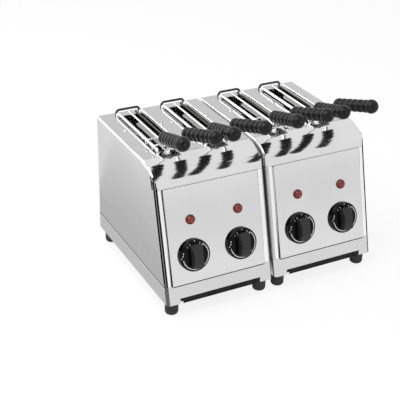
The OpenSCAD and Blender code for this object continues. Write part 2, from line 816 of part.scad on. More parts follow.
// Bezels and cases of the pilot lamps
module pilot_bezels() {
    color("darkred") for (i = slots) at_control(i, lamp_z) difference() {
        union() {
            translate([0, 0, fascia_proud]) cylinder(d1 = bezel_d, d2 = bezel_d - bezel_h / 2, h = bezel_h);
            translate([0, 0, fascia_proud - lamp_l]) cylinder(d = lamp_d, h = lamp_l + bezel_h / 4);
        }
        translate([0, 0, fascia_proud + bezel_h / 2]) cylinder(d = lens_d + 2 * run_clear, h = far);
    }
}

// Fasteners and back fittings

// Cable glands in the back panels, with a nut inside
module cable_glands() {
    neck = gland_d - 2 * sheet_t;
    color("#303030") for (m = sides) in_module(m)
        translate([gland_x, -sheet_t, gland_z]) rotate([-90, 0, 0]) difference() {
            union() {
                cylinder(d = gland_d, h = gland_out + sheet_t - 3 * seam);
                cylinder(d1 = gland_d, d2 = gland_d - 4 * sheet_t, h = gland_out + sheet_t);
                translate([0, 0, -4 * sheet_t]) cylinder(d = neck, h = 5 * sheet_t);
                translate([0, 0, -4 * sheet_t])
                    cylinder(d = gland_d + 2 * sheet_t, h = 3 * sheet_t, $fn = 6);
            }
            translate([0, 0, -far / 2]) cylinder(d = gland_bore_d, h = far);
        }
}

// Bolts and spacers that hold the two modules side by side
module joining_bolts() {
    grip = module_gap + 2 * sheet_t;
    color("gray") for (b = bolt_bs) translate([0, back_y - b, bolt_z]) rotate([0, 90, 0]) {
        cylinder(d = bolt_d, h = grip + bolt_head_h, center = true);
        cylinder(d = bolt_head_d, h = module_gap, center = true);
        for (s = sides) translate([0, 0, s * (grip + bolt_head_h) / 2])
            cylinder(d = bolt_head_d, h = bolt_head_h, center = true, $fn = 6);
    }
}

// One domed screw, with its head above the surface
module domed_screw() {
    r = (screw_head_d * screw_head_d / 4 + screw_head_h * screw_head_h) / (2 * screw_head_h);
    intersection() {
        translate([0, 0, screw_head_h - r]) sphere(r);
        cylinder(d = screw_head_d, h = screw_head_h);
    }
    translate([0, 0, -screw_l]) cylinder(d = screw_d, h = screw_l + screw_head_h / 4);
}

// Domed screws on the top and round the back panel
module case_screws() {
    color("silver") for (m = sides) in_module(m) {
        at_top_screws() domed_screw();
        at_back_screws() domed_screw();
    }
}

// Tongs, each in its slot's frame

// Wire frame with its grid, on side s
module tong_grid(s) {
    x = s * frame_x;
    low = hook_h - frame_h;
    loop(x, frame_back_b, frame_front_b, low, hook_h, frame_d, frame_bend);
    bar([x, frame_tail - frame_back_b, hook_h], [x, -frame_back_b - frame_bend, hook_h], frame_d);
    translate([x, frame_tail - frame_back_b, hook_h]) sphere(d = frame_d);
    bar([x, frame_bend - frame_front_b, hook_h], [x, -rod_front_b, hook_h], frame_d);
    for (i = [1 : grid_uprights]) {
        y = -frame_back_b - frame_l * i / (grid_uprights + 1);
        bar([x, y, low], [x, y, hook_h], grid_d);
    }
    for (i = [1 : grid_levels]) {
        h = low + frame_h * i / (grid_levels + 1);
        bar([x, -frame_back_b, h], [x, -frame_front_b, h], grid_d);
    }
}

// Hooks from the frame rod over the guard rod, on side s
module tong_hooks(s) {
    reach = guard_span / 2 + hook_over;
    for (b = hook_bs) {
        wire([[s * frame_x, -b, hook_h], [s * reach, -b, hook_h], [s * reach, -b, hook_h - hook_drop]],
            hook_d, hook_d);
        translate([s * reach, -b, hook_h - hook_drop]) sphere(d = hook_d);
    }
}

// Flat tang with its pivot ear, on side s at height h, drawn l long behind the pivot
module tang(s, h, l) {
    outer = frame_x + tang_w;
    translate([0, 0, h - tang_t / 2]) difference() {
        linear_extrude(tang_t) {
            translate([s * shank_x, tang_w / 2 - pivot_b + l - tang_w]) circle(tang_w / 2);
            translate([s * shank_x - tang_w / 2, -pivot_b]) square([tang_w, l - tang_w / 2]);
            translate([0, -pivot_b]) circle(d = ear_d);
            translate([s > 0 ? 0 : -outer, -pivot_b - ear_d / 2]) square([outer, ear_d]);
        }
        translate([0, -pivot_b, -eps]) cylinder(d = pin_d + 2 * run_clear, h = tang_t + 2 * eps);
    }
}

// Direction of a grip on side s, and the place of its root
function grip_dir(s) = [s * sin(grip_splay) * cos(grip_rise),
    -cos(grip_splay) * cos(grip_rise), sin(grip_rise)];
function grip_root(s) = [s * grip_root_x, -grip_root_b, grip_root_h];

// Shank from the tang at height h up into the grip, on side s
module shank(s, h) {
    z = h + tang_t / 2 + shank_d / 2 - shank_sink;
    wire([[s * shank_x, tang_short / 2 - pivot_b, z], [s * shank_x, -pivot_b - ear_d / 4, z],
        grip_root(s) - grip_dir(s) * shank_bend, grip_root(s) + grip_dir(s) * (grip_bore - eps)],
        shank_d, shank_bend);
}

// One half of a tong: grid, hooks, tang and shank
module tong_arm(i, s) {
    h = s < 0 ? upper_tang : lower_tang;
    color("whitesmoke") in_slot(i) {
        tong_grid(s);
        tong_hooks(s);
        tang(s, h, s < 0 ? tang_long : tang_short);
        shank(s, h);
    }
}

// Beaded grip with a round end, on its shank
module tong_grip(i, s) {
    pitch = (grip_l - grip_end_d * 0.75) / grip_beads;
    r = (pitch * pitch / 4 + grip_groove * grip_groove) / (2 * grip_groove);
    color("#151515") in_slot(i) aim(grip_root(s), [1, 0, 0], grip_dir(s)) difference() {
        rotate_extrude() intersection() {
            union() {
                for (k = [0 : grip_beads - 1]) translate([grip_d / 2 - r, pitch * (k + 0.5)]) circle(r);
                translate([0, grip_l - grip_end_d / 2]) circle(d = grip_end_d);
                square([grip_d / 2 - grip_groove, grip_l - grip_end_d / 2]);
            }
            square([grip_end_d, grip_l + eps]);
        }
        translate([0, 0, -eps]) cylinder(d = shank_d + 2 * run_clear, h = grip_bore + eps);
    }
}

// Points of the spring's wire: a helix round the pin, with a level leg towards each shank
function spring_turn(k) = -90 - 360 * k / spring_rings;
function spring_point(k) = [spring_r * cos(spring_turn(k)), spring_r * sin(spring_turn(k)),
    spring_low + spring_d / 2 + spring_rise * k / spring_rings];
spring_path = concat(
    [spring_point(0) + [spring_leg, 0, 0]],
    [for (k = [0 : spring_last]) spring_point(k)],
    [spring_point(spring_last) - [spring_leg, 0, 0]]
);

// Least gap between one turn of the spring and the next
spring_gap = min([for (k = [0 : spring_last - spring_rings])
    norm(spring_point(k + spring_rings) - spring_point(k))]) - spring_d;
echo(spring_gap = spring_gap);

// Tube of radius r along the points p, which run nearly level
module level_tube(p, r) {
    n = len(p);
    around = 6;
    ahead = [for (i = [0 : n - 1]) unit(p[min(i + 1, n - 1)] - p[max(i - 1, 0)])];
    points = [for (i = [0 : n - 1], j = [0 : around - 1])
        let (side = unit(cross(ahead[i], [0, 0, 1])), up = cross(side, ahead[i]), a = 360 * j / around)
        p[i] + r * (cos(a) * side + sin(a) * up)];
    wall = [for (i = [0 : n - 2], j = [0 : around - 1])
        let (a = i * around + j, b = i * around + (j + 1) % around)
        each [[a, b, b + around], [a, b + around, a + around]]];
    ends = [for (j = [1 : around - 2]) each [[0, j + 1, j],
        [(n - 1) * around, (n - 1) * around + j, (n - 1) * around + j + 1]]];
    polyhedron(points, concat(wall, ends));
}

// Pivot pin with its two heads, and the spring round it
module tong_pivot(i) {
    color("gray") in_slot(i) translate([0, -pivot_b, 0]) {
        level_tube(spring_path, spring_d / 2);
        translate([0, 0, pin_foot]) cylinder(d = pin_head_d, h = pin_head_h);
        translate([0, 0, pin_foot]) cylinder(d = pin_d, h = pin_top + pin_head_h - pin_foot);
        translate([0, 0, pin_top]) cylinder(d = pin_head_d, h = pin_head_h);
    }
}

// What is drawn

for (m = sides) {
    name = m < 0 ? "left_" : "right_";
    base_frame(m);
    side_panel(m, m);
    side_panel(m, -m);
    top_cover(m);
    fascia(m);
    back_panel(m);
    bulkhead(m, bulkhead_front_b, -1);
    bulkhead(m, bulkhead_back_b, 1);
    guard_rack(m);
    reflectors(m);
    crumb_tray(m);
}
rubber_feet();
quartz_tubes();
tube_caps();
timer_cases();
pilot_lenses();
pilot_bezels();
cable_glands();
joining_bolts();
case_screws();
for (i = slots) {
    dial(i);
    timer_shaft(i);
    tong_arm(i, -1);
    tong_arm(i, 1);
    tong_grip(i, -1);
    tong_grip(i, 1);
    tong_pivot(i);
}
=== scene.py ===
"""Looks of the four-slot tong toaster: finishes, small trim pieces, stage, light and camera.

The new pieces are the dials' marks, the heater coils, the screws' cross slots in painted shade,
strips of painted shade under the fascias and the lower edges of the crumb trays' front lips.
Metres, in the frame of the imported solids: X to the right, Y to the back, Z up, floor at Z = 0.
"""
import json
import math

import bmesh
import bpy
from mathutils import Matrix, Vector
from mathutils.kdtree import KDTree


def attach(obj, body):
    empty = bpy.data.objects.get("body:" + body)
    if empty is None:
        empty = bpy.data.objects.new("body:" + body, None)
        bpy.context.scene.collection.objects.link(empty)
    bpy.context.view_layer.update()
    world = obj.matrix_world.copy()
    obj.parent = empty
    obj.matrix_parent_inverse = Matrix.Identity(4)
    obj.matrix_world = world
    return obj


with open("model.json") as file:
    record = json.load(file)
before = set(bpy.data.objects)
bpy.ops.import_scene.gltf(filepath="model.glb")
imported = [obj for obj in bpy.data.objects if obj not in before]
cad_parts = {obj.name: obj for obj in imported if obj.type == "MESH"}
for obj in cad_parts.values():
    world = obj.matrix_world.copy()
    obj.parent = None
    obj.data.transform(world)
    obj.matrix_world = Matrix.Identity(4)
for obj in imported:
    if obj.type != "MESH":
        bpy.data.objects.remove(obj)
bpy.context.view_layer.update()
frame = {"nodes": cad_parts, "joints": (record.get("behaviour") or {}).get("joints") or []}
nodes = frame["nodes"]
joints = {joint["name"]: joint for joint in frame["joints"]}
SLOTS = (1, 2, 3, 4)
SIDES = ("left", "right")
MM = 0.001

# Camera, fitted to the photograph
CAMERA_SENSOR = 36
CAMERA_LENS = 85.467
CAMERA_AT = (-0.7540, -1.3079, 0.9215)
CAMERA_AZIMUTH = -27.689
CAMERA_ELEVATION = 28.464
CAMERA_ROLL = 1.214

# Sizes of the solids that finishes and small pieces follow
DIAL_FACE, BAR_LOW = 9.3 * MM, 2 * MM
HEAD_DOME_R = 3.66 * MM
FRONT_SLOPE = math.radians(14.5)
SEAM_Y, SEAM_Z = -142.74 * MM, 57 * MM
ARCH_Y = 131.4 * MM
DECK_LOW = 55 * MM

# Distances within which points count as one, and as lying on a plane
WELD, NEAR = 0.002 * MM, 0.05 * MM

# Marks on the dials; angles in degrees, from the right, anticlockwise
MARK_LIFT = 0.12 * MM
RING_R, RING_W, RING_STEPS = 23.2 * MM, 1.3 * MM, 24
RING_ARCS = ((-171, 50), (157, 164), (168, 174))
DOT_R, DOT_D, DOT_STEPS = 25.4 * MM, 1.8 * MM, 20
DOT_ANGLES = (180, 90)
FIGURES = (("1", 128), ("2", 114), ("3", 66), ("4", 52))
FIGURE_R, FIGURE_H, FIGURE_CAP = 21.5 * MM, 4 * MM, 0.7

# Heater coils, screw slots, strips of painted shade under the fascias, edges of the tray lips
COIL_R, COIL_WIRE, COIL_PITCH = 3 * MM, 0.45 * MM, 3.2 * MM
COIL_END, COIL_STEPS = 14 * MM, 8
SLOT_L, SLOT_W, SLOT_LIFT, SLOT_STEPS = 4.2 * MM, 0.8 * MM, 0.04 * MM, 6
SEAM_SHADE = 2.2 * MM
LIP_UP, LIP_H, LIP_T = 2.6 * MM, 4.6 * MM, 0.8 * MM


# Finishes

METAL, PLAIN = 1, 0
NOISE_LOW, NOISE_HIGH = 0.3, 0.7


class Finish:
    """A material under construction: its nodes, its links and its main shader."""

    def __init__(self, name, color, metallic, roughness):
        self.material = bpy.data.materials.new(name)
        self.material.use_nodes = True
        self.tree = self.material.node_tree
        self.shader = self.tree.nodes["Principled BSDF"]
        self.set("Base Color", (*color, 1))
        self.set("Metallic", metallic)
        self.set("Roughness", roughness)
        self.place = self.add("ShaderNodeTexCoord").outputs["Object"]

    def set(self, socket, value):
        self.shader.inputs[socket].default_value = value

    def add(self, kind, **values):
        node = self.tree.nodes.new(kind)
        for key, value in values.items():
            setattr(node, key, value)
        return node

    def link(self, output, target):
        self.tree.links.new(output, target)

    def axes(self):
        """Object coordinates as separate X, Y and Z."""
        split = self.add("ShaderNodeSeparateXYZ")
        self.link(self.place, split.inputs["Vector"])
        return split.outputs

    def stretched(self, scale):
        """Object coordinates, scaled along each axis."""
        mapping = self.add("ShaderNodeMapping")
        mapping.inputs["Scale"].default_value = scale
        self.link(self.place, mapping.inputs["Vector"])
        return mapping.outputs["Vector"]

    def noise(self, scale, detail, stretch=(1, 1, 1)):
        """A noise pattern with values around one half."""
        node = self.add("ShaderNodeTexNoise")
        node.inputs["Scale"].default_value = scale
        node.inputs["Detail"].default_value = detail
        self.link(self.stretched(stretch), node.inputs["Vector"])
        return node.outputs["Fac"]

    def spread(self, value, low, high, start=NOISE_LOW, stop=NOISE_HIGH):
        """Maps a pattern from start..stop to low..high."""
        node = self.add("ShaderNodeMapRange")
        node.inputs["From Min"].default_value = start
        node.inputs["From Max"].default_value = stop
        node.inputs["To Min"].default_value = low
        node.inputs["To Max"].default_value = high
        self.link(value, node.inputs["Value"])
        return node.outputs["Result"]

    def tint(self, value, dark, light, start=NOISE_LOW, stop=NOISE_HIGH):
        """Colours a pattern from dark to light, puts it on the base colour and returns the ramp."""
        node = self.add("ShaderNodeValToRGB")
        ramp = node.color_ramp
        ramp.elements[0].position = start
        ramp.elements[0].color = (*dark, 1)
        ramp.elements[1].position = stop
        ramp.elements[1].color = (*light, 1)
        self.link(value, node.inputs["Fac"])
        self.link(node.outputs["Color"], self.shader.inputs["Base Color"])
        return ramp

    def rough(self, value, low, high):
        self.link(self.spread(value, low, high), self.shader.inputs["Roughness"])

    def bump(self, value, height, strength):
        """Raises the surface by a pattern; height is in metres."""
        node = self.add("ShaderNodeBump")
        node.inputs["Strength"].default_value = strength
        node.inputs["Distance"].default_value = height
        self.link(value, node.inputs["Height"])
        self.link(node.outputs["Normal"], self.shader.inputs["Normal"])


def grey(value):
    return (value, value, value)


GRAIN_ALONG_X = (12, 1800, 1800)
GRAIN_ALONG_Y = (1800, 12, 1800)
GRAIN_NOISE, CLOUD_NOISE = (1, 3), (9, 3)
GRAIN_STRENGTH = 0.6
POLISHED, BRUSHED = 0.001 * MM, 0.002 * MM


def steel(name, value, roughness, grain, depth):
    """Stainless steel with a fine grain along one axis, and faint larger clouds."""
    finish = Finish(name, grey(value), METAL, roughness)
    strokes = finish.noise(*GRAIN_NOISE, grain)
    clouds = finish.noise(*CLOUD_NOISE)
    finish.tint(clouds, grey(value * 0.97), grey(value * 1.02))
    finish.rough(strokes, roughness * 0.8, roughness * 1.2)
    finish.bump(strokes, depth, GRAIN_STRENGTH)
    return finish.material


# Height of the band at the top of the base's sides; where in it the painted highlight of the fold
# and the painted shade of the seam gap start
BAND_H, FOLD_HIGHLIGHT_START, GAP_SHADE_START = 4.4 * MM, 0.1, 0.6
BAND_GREY, FOLD_HIGHLIGHT_GREY, GAP_SHADE_GREY = 0.72, 0.98, 0.08


def side_steel_painted_seam():
    """Steel of the base's sides, with painted shade of the seam gap at the upper edge and a painted
    highlight of the fold below.
    """
    finish = Finish("side_steel_painted_seam", grey(BAND_GREY), METAL, 0.1)
    rise = finish.spread(finish.axes()["Z"], 0, 1, SEAM_Z - BAND_H, SEAM_Z)
    # painted shade: a dark band where the casing stands on the base; painted highlight: a bright
    # band under it
    ramp = finish.tint(rise, grey(BAND_GREY), grey(GAP_SHADE_GREY), 0, GAP_SHADE_START)
    ramp.interpolation = "CONSTANT"
    ramp.elements.new(FOLD_HIGHLIGHT_START).color = (*grey(FOLD_HIGHLIGHT_GREY), 1)
    finish.rough(finish.noise(*GRAIN_NOISE, GRAIN_ALONG_Y), 0.08, 0.12)
    return finish.material


# Where the painted shade, for the dark inside the slot, starts behind the front of a wire and ends
# before its tip
BRIGHT_Y, BRIGHT_FADE = -8 * MM, 6 * MM
TIP_Y, TIP_FADE = 112 * MM, 2 * MM
WIRE_NOISE = (900, 3)


def slot_shaded_wire():
    """Wire with painted shade where it lies inside the slot; its front part and its tip keep the
    wire's bright colour.
    """
    finish = Finish("slot_shaded_wire", grey(0.2), METAL, 0.2)
    along = finish.axes()["Y"]
    front = finish.spread(along, 1, 0, BRIGHT_Y - BRIGHT_FADE, BRIGHT_Y + BRIGHT_FADE)
    tip = finish.spread(along, 0, 1, TIP_Y - TIP_FADE, TIP_Y + TIP_FADE)
    bright = finish.add("ShaderNodeMath", operation="MAXIMUM")
    finish.link(front, bright.inputs[0])
    finish.link(tip, bright.inputs[1])
    # painted shade: the wire is darkened between its front and its tip
    finish.tint(bright.outputs[0], (0.05, 0.045, 0.04), grey(0.82), 0, 1)
    finish.rough(finish.noise(*WIRE_NOISE), 0.1, 0.25)
    return finish.material


def mottled(name, color, metallic, roughness, noise, tint, rough, bump=None, sockets=None):
    """A finish whose colour, roughness and skin follow one noise pattern."""
    finish = Finish(name, color, metallic, roughness)
    pattern = finish.noise(*noise)
    finish.tint(pattern, *tint)
    finish.rough(pattern, *rough)
    if bump:
        finish.bump(pattern, *bump)
    for socket, value in (sockets or {}).items():
        finish.set(socket, value)
    return finish.material


SHINE = "Specular IOR Level"
PLASTIC_SKIN = (0.04 * MM, 0.35)


def black_plastic(name, shade, roughness, speck, shine):
    """Moulded black plastic with a fine skin."""
    return mottled(name, grey(shade), PLAIN, roughness, noise=(speck, 4),
                   tint=(grey(shade * 0.7), grey(shade * 1.4)),
                   rough=(roughness * 0.8, roughness * 1.25),
                   bump=PLASTIC_SKIN, sockets={SHINE: shine})


# Pointiness of the grips' valleys and of their beads' tops, which sets the painted shade and the
# painted highlight
VALLEY, BEAD = 0.5, 0.535


def grip_plastic():
    """Black plastic with painted shade in the valleys between the beads and a painted highlight on
    the beads' tops.
    """
    finish = Finish("grip_plastic", grey(0.01), PLAIN, 0.25)
    finish.set(SHINE, 0.14)
    bend = finish.add("ShaderNodeNewGeometry").outputs["Pointiness"]
    # painted shade in the valleys and painted highlight on the beads' tops, by pointiness
    finish.tint(bend, grey(0.0005), grey(0.035), VALLEY, BEAD)
    skin = finish.noise(900, 4)
    finish.rough(skin, 0.16, 0.26)
    finish.bump(skin, *PLASTIC_SKIN)
    return finish.material


polish = steel("polished_steel", 0.72, 0.11, GRAIN_ALONG_X, POLISHED)
satin = steel("fascia_steel", 0.72, 0.1, GRAIN_ALONG_X, BRUSHED)
panel = steel("panel_steel", 0.6, 0.12, GRAIN_ALONG_Y, BRUSHED)
# painted reflection: a brighter copy of the side panels' steel, for their front flanges
flange = steel("flange_steel", 0.92, 0.1, GRAIN_ALONG_X, POLISHED)
tang = steel("tang_steel", 0.42, 0.3, GRAIN_ALONG_Y, BRUSHED)
inner = steel("inner_steel", 0.62, 0.5, GRAIN_ALONG_Y, BRUSHED)
base = steel("base_steel", 0.66, 0.12, GRAIN_ALONG_X, BRUSHED)
painted_seam_band, slot_shaded = side_steel_painted_seam(), slot_shaded_wire()
oven = mottled("oven_steel", grey(0.16), METAL, 0.45, noise=(35, 6),
               tint=((0.05, 0.042, 0.036), (0.2, 0.19, 0.18)), rough=(0.35, 0.6))
tray = mottled("tray_steel", grey(0.02), METAL, 0.5, noise=(60, 5),
               tint=(grey(0.012), grey(0.035)), rough=(0.4, 0.6))
wire = mottled("bright_wire", grey(0.82), METAL, 0.12, noise=WIRE_NOISE,
               tint=(grey(0.76), grey(0.86)), rough=(0.08, 0.18))
zinc = mottled("zinc_steel", grey(0.55), METAL, 0.3, noise=(420, 5),
               tint=((0.46, 0.47, 0.49), (0.62, 0.63, 0.65)), rough=(0.22, 0.4))
coil = mottled("heater_coil", (0.2, 0.17, 0.15), METAL, 0.5, noise=(900, 4),
               tint=((0.12, 0.1, 0.09), (0.26, 0.22, 0.2)), rough=(0.4, 0.65))
dial_black = black_plastic("dial_plastic", 0.003, 0.14, 1500, 0.12)
# painted highlight: a lighter copy of the dial's black plastic, for the light on the bars' faces
lit_bar_black = black_plastic("lit_bar_plastic", 0.02, 0.35, 1500, 0.3)
gland_black_and_arch_reflection = black_plastic("black_plastic", 0.01, 0.5, 1200, 0.4)
grip_black = grip_plastic()
rubber = mottled("black_rubber", grey(0.02), PLAIN, 0.7, noise=(1400, 5),
                 tint=(grey(0.012), grey(0.035)), rough=(0.6, 0.85), bump=(0.06 * MM, 0.5))
lens = mottled("red_lens", (0.24, 0.03, 0.018), PLAIN, 0.12, noise=(260, 2),
               tint=((0.16, 0.014, 0.008), (0.34, 0.05, 0.03)), rough=(0.08, 0.2),
               sockets={SHINE: 0.3, "Coat Weight": 0.15})
bezel = mottled("red_bezel", (0.07, 0.008, 0.006), PLAIN, 0.25, noise=(700, 3),
                tint=((0.05, 0.005, 0.004), (0.1, 0.012, 0.01)), rough=(0.18, 0.35))
glass = mottled("quartz", (0.9, 0.88, 0.84), PLAIN, 0.15, noise=(140, 4),
                tint=((0.8, 0.77, 0.72), (0.95, 0.94, 0.92)), rough=(0.1, 0.3),
                sockets={"Transmission Weight": 0.7})
clay = mottled("ceramic", (0.8, 0.77, 0.7), PLAIN, 0.6, noise=(800, 5),
               tint=((0.7, 0.66, 0.58), (0.85, 0.83, 0.77)), rough=(0.5, 0.75),
               bump=(0.08 * MM, 0.4))
ink = mottled("white_print", grey(0.8), PLAIN, 0.5, noise=(1600, 3),
              tint=(grey(0.66), grey(0.86)), rough=(0.4, 0.6))
# painted shade: flat black for the screws' slots, the fascias' left edges, the deck's top at the
# seams and the strips under the fascias
painted_shade = mottled("painted_shade_black", grey(0.02), PLAIN, 0.8, noise=(2500, 3),
               tint=(grey(0.01), grey(0.04)), rough=(0.6, 0.9))


# Finishes of the solids; the longest word in a node's name counts

NODE_FINISHES = {
    "top_cover": polish, "fascia": satin, "base_frame": base,
    "side_panel": panel, "inner_side_panel": inner, "back_panel": panel,
    "bulkhead": oven, "reflectors": oven, "crumb_tray": tray,
    # the right arm's wire carries painted shade
    "guard_rack": wire, "left_arm": wire, "right_arm": slot_shaded,
    "grip": grip_black, "pivot": zinc, "dial": dial_black,
    "timer_shaft": zinc, "timer_cases": zinc, "joining_bolts": zinc, "case_screws": zinc,
    "rubber_feet": rubber, "cable_glands": gland_black_and_arch_reflection,
    "quartz_tubes": glass, "tube_caps": clay,
    "pilot_lenses": lens, "pilot_bezels": bezel,
}
SMOOTH_ANGLE = math.radians(32)


def dress_nodes():
    """Gives every solid its finish and smooth shading up to an angle."""
    for name, node in nodes.items():
        words = [word for word in NODE_FINISHES if word in name]
        finish = NODE_FINISHES[max(words, key=len)]
        node.data.materials.clear()
        node.data.materials.append(finish)
        node.data.shade_smooth()
        node.data.set_sharp_from_angle(angle=SMOOTH_ANGLE)


def dial_frame(number):
    """Matrix of a dial's face: X to the right, Y up the slope, Z outward."""
    joint = joints[f"timer_{number}_turn"]
    outward = -Vector(joint["axis"]).normalized()
    right = Vector((1, 0, 0))
    up = outward.cross(right)
    turn = Matrix((right, up, outward)).transposed().to_4x4()
    return Matrix.Translation(Vector(joint["pos_m"]) + outward * DIAL_FACE) @ turn


def on_bar(number):
    """Tells the faces of a dial's bar, which stands on its disc."""
    disc = dial_frame(number).inverted()
    return lambda face: (disc @ face.center).z > BAR_LOW


def dress_faces(word, finish, chosen):
    """Gives the chosen faces of all nodes with that word a finish of their own."""
    for name, node in nodes.items():
        if word in name:
            node.data.materials.append(finish)
            for face in node.data.polygons:
                if chosen(face):
                    face.material_index = len(node.data.materials) - 1


# Least part of a normal along an axis, for faces that are level, square to it, leaning or mostly so
LEVEL, SQUARE, LEANING, MOSTLY = 0.999, 0.95, 0.93, 0.9

dress_nodes()
dress_faces("arm", tang, lambda face: abs(face.normal.z) > LEVEL)
# painted reflection on the side panels' front flanges
dress_faces("side_panel", flange, lambda face: face.normal.y < -LEANING)
# painted shade on the fascias' left-facing edges
dress_faces("fascia", painted_shade, lambda face: face.normal.x < -SQUARE)
# painted seam shade and painted fold highlight on the base's outer sides
dress_faces("left_base_frame", painted_seam_band, lambda face: face.normal.x < -SQUARE)
dress_faces("right_base_frame", painted_seam_band, lambda face: face.normal.x > SQUARE)
# painted shade on the deck's top, seen through the seams
dress_faces("base_frame", painted_shade,
            lambda face: face.normal.z > MOSTLY and face.center.z > DECK_LOW)
for number in SLOTS:
    # painted highlight on the bars of the dials
    dress_faces(f"dial_{number}", lit_bar_black, on_bar(number))
# painted dark reflection: the guard wire's rear arches are coloured black
dress_faces("guard_rack", gland_black_and_arch_reflection, lambda face: face.center.y > ARCH_Y)


# Rounded folds of the sheet metal, and the trimmed front of the base

FOLD_R, FOLD_STEPS = 3.2 * MM, 5
FOLD_NODES = ("top_cover", "side_panel")
# A face of the top rises at least this much, and turns sideways less than that
TOP_RISE, TOP_TURN = 0.15, 0.5


def is_fold(edge, low, high):
    """True where a sheet turns at the casing's outside: side to top or back, top to back."""
    ends = [vert.co for vert in edge.verts]
    normals = [face.normal for face in edge.link_faces]
    at_side = any(all(abs(end.x - x) < NEAR for end in ends) for x in (low.x, high.x))
    at_back = all(abs(end.y - high.y) < NEAR for end in ends)
    sideways = any(abs(normal.x) > MOSTLY for normal in normals)
    upward = any(normal.z > TOP_RISE and abs(normal.x) < TOP_TURN for normal in normals)
    backward = any(normal.y > MOSTLY for normal in normals)
    return at_side and sideways and (upward or backward) or at_back and upward and backward


def mark_edges(node):
    """Marks a node's sharp edges, and the folds to be rounded, as if its faces were welded."""
    shape = bmesh.new()
    shape.from_mesh(node.data)
    bmesh.ops.remove_doubles(shape, verts=shape.verts, dist=WELD)
    corners = list(zip(*(vert.co for vert in shape.verts)))
    low, high = Vector(map(min, corners)), Vector(map(max, corners))
    spots = KDTree(len(shape.verts))
    shape.verts.index_update()
    for vert in shape.verts:
        spots.insert(vert.co, vert.index)
    spots.balance()
    sharp, folds = set(), set()
    for edge in shape.edges:
        if len(edge.link_faces) == 2 and edge.calc_face_angle(0) > SMOOTH_ANGLE:
            ends = frozenset(vert.index for vert in edge.verts)
            sharp.add(ends)
            if is_fold(edge, low, high):
                folds.add(ends)
    shape.free()
    points = [spots.find(vert.co)[1] for vert in node.data.vertices]
    weights = node.data.attributes.new("bevel_weight_edge", "FLOAT", "EDGE")
    for edge in node.data.edges:
        ends = frozenset(points[index] for index in edge.vertices)
        edge.use_edge_sharp = ends in sharp
        weights.data[edge.index].value = float(ends in folds)


def round_folds(node):
    """Rounds the marked folds with a bevel and keeps the large faces flat."""
    mark_edges(node)
    weld = node.modifiers.new("weld", "WELD")
    weld.merge_threshold = WELD
    bevel = node.modifiers.new("folds", "BEVEL")
    bevel.limit_method = "WEIGHT"
    bevel.width = FOLD_R
    bevel.segments = FOLD_STEPS
    bevel.use_clamp_overlap = False
    flat = node.modifiers.new("flat_faces", "WEIGHTED_NORMAL")
    flat.keep_sharp = True


def trim_front(node):
    """Draws the runners' upper front corners, which stand out of the base's front, back onto it."""
    lean = math.tan(FRONT_SLOPE)
    reach = {vert.index: SEAM_Y + (vert.co.z - SEAM_Z) * lean - vert.co.y
             for vert in node.data.vertices}
    out = {index: depth for index, depth in reach.items() if depth > NEAR}
    if not out:
        return
    group = node.vertex_groups.new(name="runner_corners")
    most = max(out.values())
    for index, depth in out.items():
        group.add([index], depth / most, "REPLACE")
    push = node.modifiers.new("trim", "DISPLACE")
    push.direction = "Y"
    push.mid_level = 0
    push.strength = most
    push.vertex_group = group.name


for name, node in nodes.items():
    if "base_frame" in name:
        trim_front(node)
    if any(word in name for word in FOLD_NODES):
        round_folds(node)


# Helpers for new pieces

def add_piece(name, mesh_maker, material, body):
    """A new mesh piece that rides on a body and takes the finish it is given."""
    shape = bmesh.new()
    mesh_maker(shape)
    bmesh.ops.recalc_face_normals(shape, faces=shape.faces)
    mesh = bpy.data.meshes.new(name)
    shape.to_mesh(mesh)
    shape.free()
    mesh.materials.append(material)
    piece = bpy.data.objects.new(name, mesh)
    bpy.context.collection.objects.link(piece)
    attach(piece, body)


def add_rod(shape, rings):
    """A closed rod through rings of four corners each."""
    for first, second in zip(rings, rings[1:]):
        for side in range(4):
            after = (side + 1) % 4
            shape.faces.new((first[side], first[after], second[after], second[side]))
    shape.faces.new(rings[0])
    shape.faces.new(reversed(rings[-1]))


def add_sector(shape, place, low, high, start, stop):
    """A thin raised band between two radii and two angles."""
    rings = []
    for step in range(RING_STEPS + 1):
        angle = math.radians(start + (stop - start) * step / RING_STEPS)
        ray = Vector((math.cos(angle), math.sin(angle), 0))
        rings.append([
            shape.verts.new(place @ (ray * radius + Vector((0, 0, lift))))
            for radius, lift in ((low, 0), (high, 0), (high, MARK_LIFT), (low, MARK_LIFT))])
    add_rod(shape, rings)


def add_disc(shape, place, radius):
    """A small raised dot."""
    turns = [math.tau * step / DOT_STEPS for step in range(DOT_STEPS)]
    corners = [Vector((math.cos(turn), math.sin(turn), 0)) * radius for turn in turns]
    low = [shape.verts.new(place @ corner) for corner in corners]
    high = [shape.verts.new(place @ (corner + Vector((0, 0, MARK_LIFT)))) for corner in corners]
    shape.faces.new(reversed(low))
    shape.faces.new(high)
    for step in range(DOT_STEPS):
        after = (step + 1) % DOT_STEPS
        shape.faces.new((low[step], low[after], high[after], high[step]))


# Corners of a box's six faces, where each bit of a corner's number stands for one edge
BOX_FACES = ((0, 1, 3, 2), (4, 6, 7, 5), (0, 4, 5, 1), (2, 3, 7, 6), (0, 2, 6, 4), (1, 5, 7, 3))


def add_box(shape, start, *edges):
    """A slanting box from one corner along three edges."""
    corners = [shape.verts.new(start + edges[0] * a + edges[1] * b + edges[2] * c)
               for a in (0, 1) for b in (0, 1) for c in (0, 1)]
    for face in BOX_FACES:
        shape.faces.new([corners[index] for index in face])


